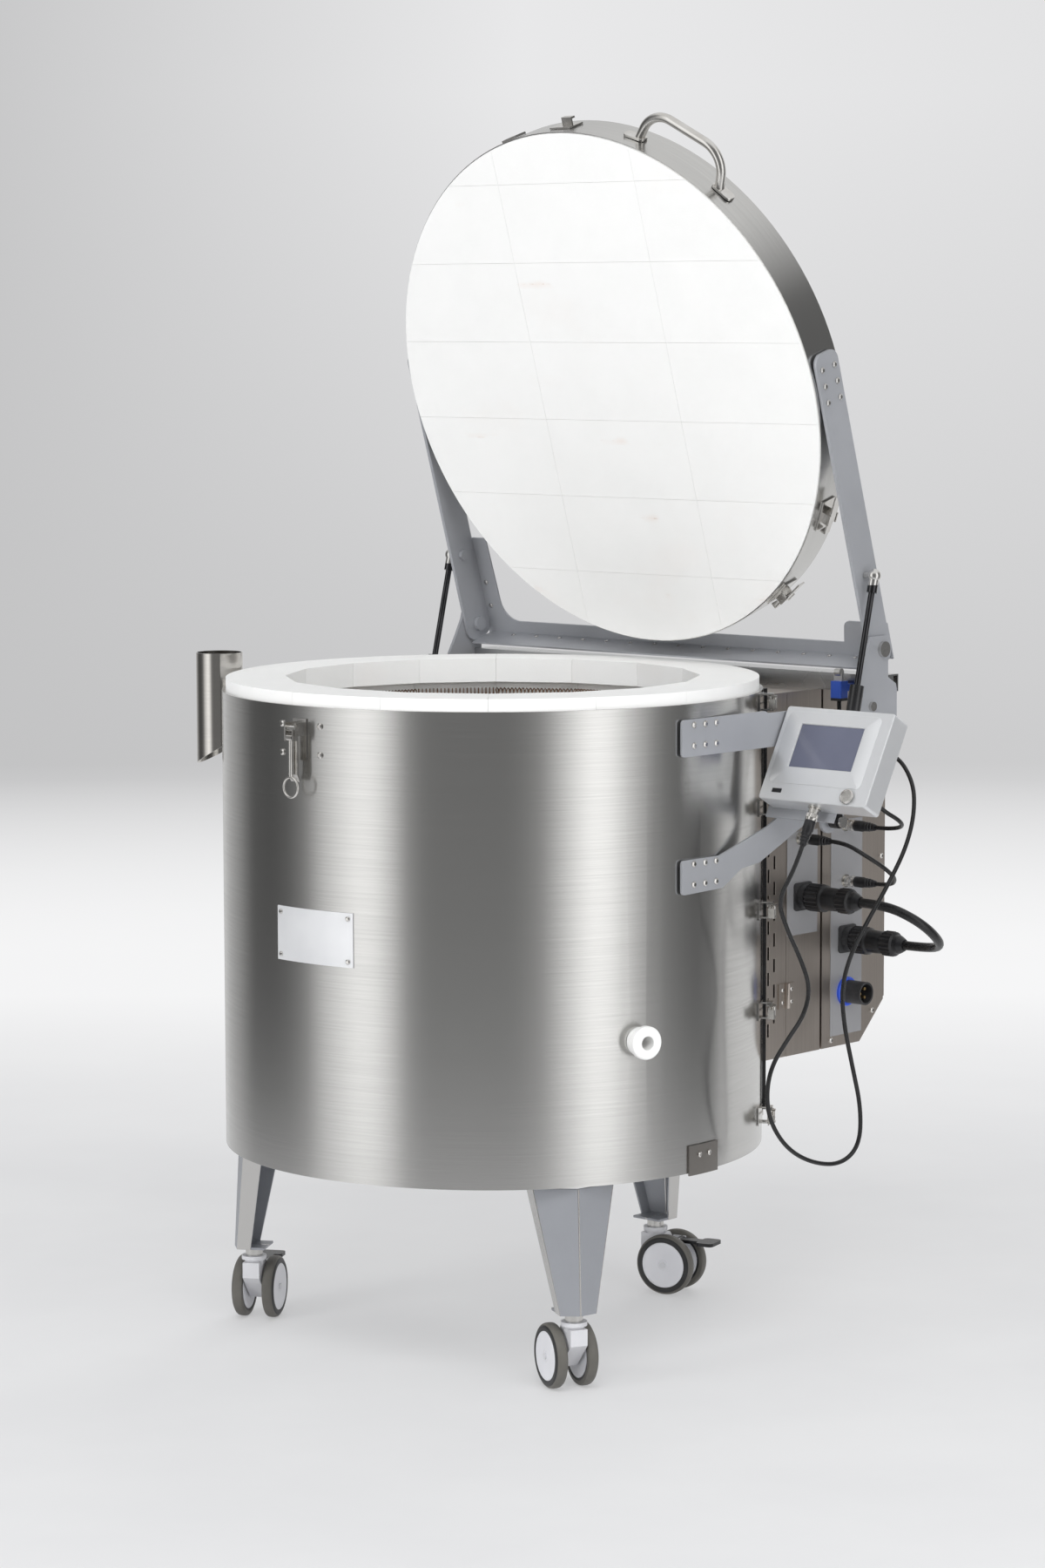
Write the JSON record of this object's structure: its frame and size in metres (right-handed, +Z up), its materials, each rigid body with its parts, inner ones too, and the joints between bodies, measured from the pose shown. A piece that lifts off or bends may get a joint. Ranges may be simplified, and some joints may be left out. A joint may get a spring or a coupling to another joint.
{
  "type": "ceramic kiln",
  "caption": "Top-loading electric ceramic kiln: brick-lined steel drum on casters with a hinged lid on gas struts, a side control panel and rear wiring boxes.",
  "frame": {"origin": "on the floor under the axis of the drum", "axes": "+Z up along the drum axis, -Y the front with the lid latch, +X the side with the control panel"},
  "size_m": [0.885, 0.8466, 1.5536],
  "materials": {
    "brushed_sheet": "satin",
    "polished_steel": "polished",
    "zinc_steel": "satin",
    "grey_paint": "satin",
    "firebrick": "matte",
    "fibre": "matte",
    "element_wire": "matte",
    "black_rubber": "matte",
    "black_plastic": "matte",
    "white_plastic": "satin",
    "panel_plastic": "satin",
    "screen_glass": "gloss",
    "black_tube": "satin"
  },
  "bodies": {
    "kiln": {"drum_jacket": "brushed_sheet", "seam_strip": "black_rubber", "base_plate": "zinc_steel", "insulation": "fibre", "floor_bricks": "firebrick", "wall_bricks": "firebrick", "heating_elements": "element_wire", "thermocouple": "firebrick", "spy_plug": "firebrick", "legs": "grey_paint", "body_plates": "zinc_steel", "body_screws": "polished_steel", "latch_bases": "polished_steel", "panel_bracket": "grey_paint", "panel_housing": "panel_plastic", "panel_screen": "screen_glass", "hinge_brackets": "grey_paint", "cross_beam": "zinc_steel", "limit_switch": "black_plastic", "element_box": "zinc_steel", "terminal_cover": "zinc_steel", "control_cabinet": "zinc_steel", "sockets": "black_plastic", "cord_plugs": "black_plastic", "side_tube": "polished_steel", "panel_cord": "black_rubber", "thermocouple_cord": "black_rubber", "switch_cord": "black_rubber", "heater_cord": "black_rubber"},
    "lid": {"lid_bricks": "firebrick", "lid_pan": "brushed_sheet", "lid_arms": "grey_paint", "lid_crossbar": "grey_paint", "lid_handle": "polished_steel", "lid_latches": "polished_steel"},
    "front_latch_lever": {"front_latch_lever": "polished_steel"},
    "front_latch_bail": {"front_latch_bail": "polished_steel"},
    "panel_button": {"panel_button": "polished_steel"},
    "strut_cylinder_right": {"strut_cylinder_right": "black_tube"},
    "strut_cylinder_left": {"strut_cylinder_left": "black_tube"},
    "strut_rod_right": {"strut_rod_right": "polished_steel"},
    "strut_rod_left": {"strut_rod_left": "polished_steel"},
    "seam_lever_1": {"seam_lever_1": "polished_steel"},
    "seam_loop_1": {"seam_loop_1": "polished_steel"},
    "seam_lever_2": {"seam_lever_2": "polished_steel"},
    "seam_loop_2": {"seam_loop_2": "polished_steel"},
    "seam_lever_3": {"seam_lever_3": "polished_steel"},
    "seam_loop_3": {"seam_loop_3": "polished_steel"},
    "seam_lever_4": {"seam_lever_4": "polished_steel"},
    "seam_loop_4": {"seam_loop_4": "polished_steel"},
    "seam_lever_5": {"seam_lever_5": "polished_steel"},
    "seam_loop_5": {"seam_loop_5": "polished_steel"},
    "caster_fork_left": {"caster_fork_left": "white_plastic"},
    "caster_wheels_left": {"caster_wheels_left": "black_rubber"},
    "caster_fork_front": {"caster_fork_front": "white_plastic"},
    "caster_wheels_front": {"caster_wheels_front": "black_rubber"},
    "caster_fork_rear": {"caster_fork_rear": "white_plastic"},
    "caster_wheels_rear": {"caster_wheels_rear": "black_rubber"},
    "brake_pedal_left": {"brake_pedal_left": "black_plastic"},
    "brake_pedal_rear": {"brake_pedal_rear": "black_plastic"}
  },
  "joints": [
    {"name": "lid_hinge", "type": "hinge", "parent": "kiln", "child": "lid", "pos_m": [0, 0.345, 0.872], "axis": [1, 0, 0], "range_deg": [0, 73], "stiffness_Nm_per_rad": 27, "springref_deg": -54.43},
    {"name": "strut_swing_right", "type": "hinge", "parent": "kiln", "child": "strut_cylinder_right", "pos_m": [0.362, 0.238, 0.664], "axis": [1, 0, 0], "range_deg": [0, 12.14]},
    {"name": "strut_slide_right", "type": "slide", "parent": "strut_cylinder_right", "child": "strut_rod_right", "axis": [0, -0.2401, -0.9707], "range_m": [0, 0.1078]},
    {"name": "strut_swing_left", "type": "hinge", "parent": "kiln", "child": "strut_cylinder_left", "pos_m": [-0.362, 0.238, 0.664], "axis": [1, 0, 0], "range_deg": [0, 12.14]},
    {"name": "strut_slide_left", "type": "slide", "parent": "strut_cylinder_left", "child": "strut_rod_left", "axis": [0, -0.2401, -0.9707], "range_m": [0, 0.1078]},
    {"name": "front_latch_lever", "type": "hinge", "parent": "kiln", "child": "front_latch_lever", "pos_m": [-0.00184, -0.352, 0.8], "axis": [-1, 0.0052, 0], "range_deg": [0, 95]},
    {"name": "front_latch_bail", "type": "hinge", "parent": "front_latch_lever", "child": "front_latch_bail", "pos_m": [-0.00187, -0.357, 0.79], "axis": [-1, 0.0052, 0], "range_deg": [0, 80]},
    {"name": "seam_lever_1", "type": "hinge", "parent": "kiln", "child": "seam_lever_1", "pos_m": [0.29687, 0.18913, 0.292], "axis": [0, 0, 1], "range_deg": [0, 100]},
    {"name": "seam_loop_1", "type": "hinge", "parent": "seam_lever_1", "child": "seam_loop_1", "pos_m": [0.30652, 0.1846, 0.292], "axis": [0, 0, 1], "range_deg": [-101, 0]},
    {"name": "seam_lever_2", "type": "hinge", "parent": "kiln", "child": "seam_lever_2", "pos_m": [0.29687, 0.18913, 0.425], "axis": [0, 0, 1], "range_deg": [0, 100]},
    {"name": "seam_loop_2", "type": "hinge", "parent": "seam_lever_2", "child": "seam_loop_2", "pos_m": [0.30652, 0.1846, 0.425], "axis": [0, 0, 1], "range_deg": [-101, 0]},
    {"name": "seam_lever_3", "type": "hinge", "parent": "kiln", "child": "seam_lever_3", "pos_m": [0.29687, 0.18913, 0.552], "axis": [0, 0, 1], "range_deg": [0, 100]},
    {"name": "seam_loop_3", "type": "hinge", "parent": "seam_lever_3", "child": "seam_loop_3", "pos_m": [0.30652, 0.1846, 0.552], "axis": [0, 0, 1], "range_deg": [-101, 0]},
    {"name": "seam_lever_4", "type": "hinge", "parent": "kiln", "child": "seam_lever_4", "pos_m": [0.29687, 0.18913, 0.682], "axis": [0, 0, 1], "range_deg": [0, 100]},
    {"name": "seam_loop_4", "type": "hinge", "parent": "seam_lever_4", "child": "seam_loop_4", "pos_m": [0.30652, 0.1846, 0.682], "axis": [0, 0, 1], "range_deg": [-101, 0]},
    {"name": "seam_lever_5", "type": "hinge", "parent": "kiln", "child": "seam_lever_5", "pos_m": [0.29687, 0.18913, 0.813], "axis": [0, 0, 1], "range_deg": [0, 100]},
    {"name": "seam_loop_5", "type": "hinge", "parent": "seam_lever_5", "child": "seam_loop_5", "pos_m": [0.30652, 0.1846, 0.813], "axis": [0, 0, 1], "range_deg": [-101, 0]},
    {"name": "button_press", "type": "slide", "parent": "kiln", "child": "panel_button", "axis": [0, 0.878, -0.4787], "range_m": [0, 0.0015], "stiffness_N_per_m": 600},
    {"name": "caster_swivel_left", "type": "hinge", "parent": "kiln", "child": "caster_fork_left", "pos_m": [-0.2754, -0.159, 0.09], "axis": [0, 0, 1], "continuous": true},
    {"name": "caster_roll_left", "type": "hinge", "parent": "caster_fork_left", "child": "caster_wheels_left", "pos_m": [-0.28703, -0.13801, 0.04], "axis": [-0.8746, -0.4848, 0], "continuous": true},
    {"name": "caster_swivel_front", "type": "hinge", "parent": "kiln", "child": "caster_fork_front", "pos_m": [0.2754, -0.159, 0.09], "axis": [0, 0, 1], "continuous": true},
    {"name": "caster_roll_front", "type": "hinge", "parent": "caster_fork_front", "child": "caster_wheels_front", "pos_m": [0.25373, -0.14867, 0.04], "axis": [-0.4305, -0.9026, 0], "continuous": true},
    {"name": "caster_swivel_rear", "type": "hinge", "parent": "kiln", "child": "caster_fork_rear", "pos_m": [0, 0.318, 0.09], "axis": [0, 0, 1], "continuous": true},
    {"name": "caster_roll_rear", "type": "hinge", "parent": "caster_fork_rear", "child": "caster_wheels_rear", "pos_m": [0.02324, 0.32401, 0.04], "axis": [-0.2504, 0.9681, 0], "continuous": true},
    {"name": "brake_left", "type": "hinge", "parent": "caster_fork_left", "child": "brake_pedal_left", "pos_m": [-0.29285, -0.12751, 0.07], "axis": [-0.8746, -0.4848, 0], "range_deg": [0, 12]},
    {"name": "brake_rear", "type": "hinge", "parent": "caster_fork_rear", "child": "brake_pedal_rear", "pos_m": [0.03485, 0.32701, 0.07], "axis": [-0.2504, 0.9681, 0], "range_deg": [0, 12]}
  ],
  "couplings": [
    {"joint": "strut_swing_right", "follows": "lid_hinge", "ratio": 0.16355},
    {"joint": "strut_slide_right", "follows": "lid_hinge", "m_per_rad": 0.083793},
    {"joint": "strut_swing_left", "follows": "lid_hinge", "ratio": 0.16355},
    {"joint": "strut_slide_left", "follows": "lid_hinge", "m_per_rad": 0.083793},
    {"joint": "seam_loop_1", "follows": "seam_lever_1", "ratio": -1},
    {"joint": "seam_loop_2", "follows": "seam_lever_2", "ratio": -1},
    {"joint": "seam_loop_3", "follows": "seam_lever_3", "ratio": -1},
    {"joint": "seam_loop_4", "follows": "seam_lever_4", "ratio": -1},
    {"joint": "seam_loop_5", "follows": "seam_lever_5", "ratio": -1}
  ]
}
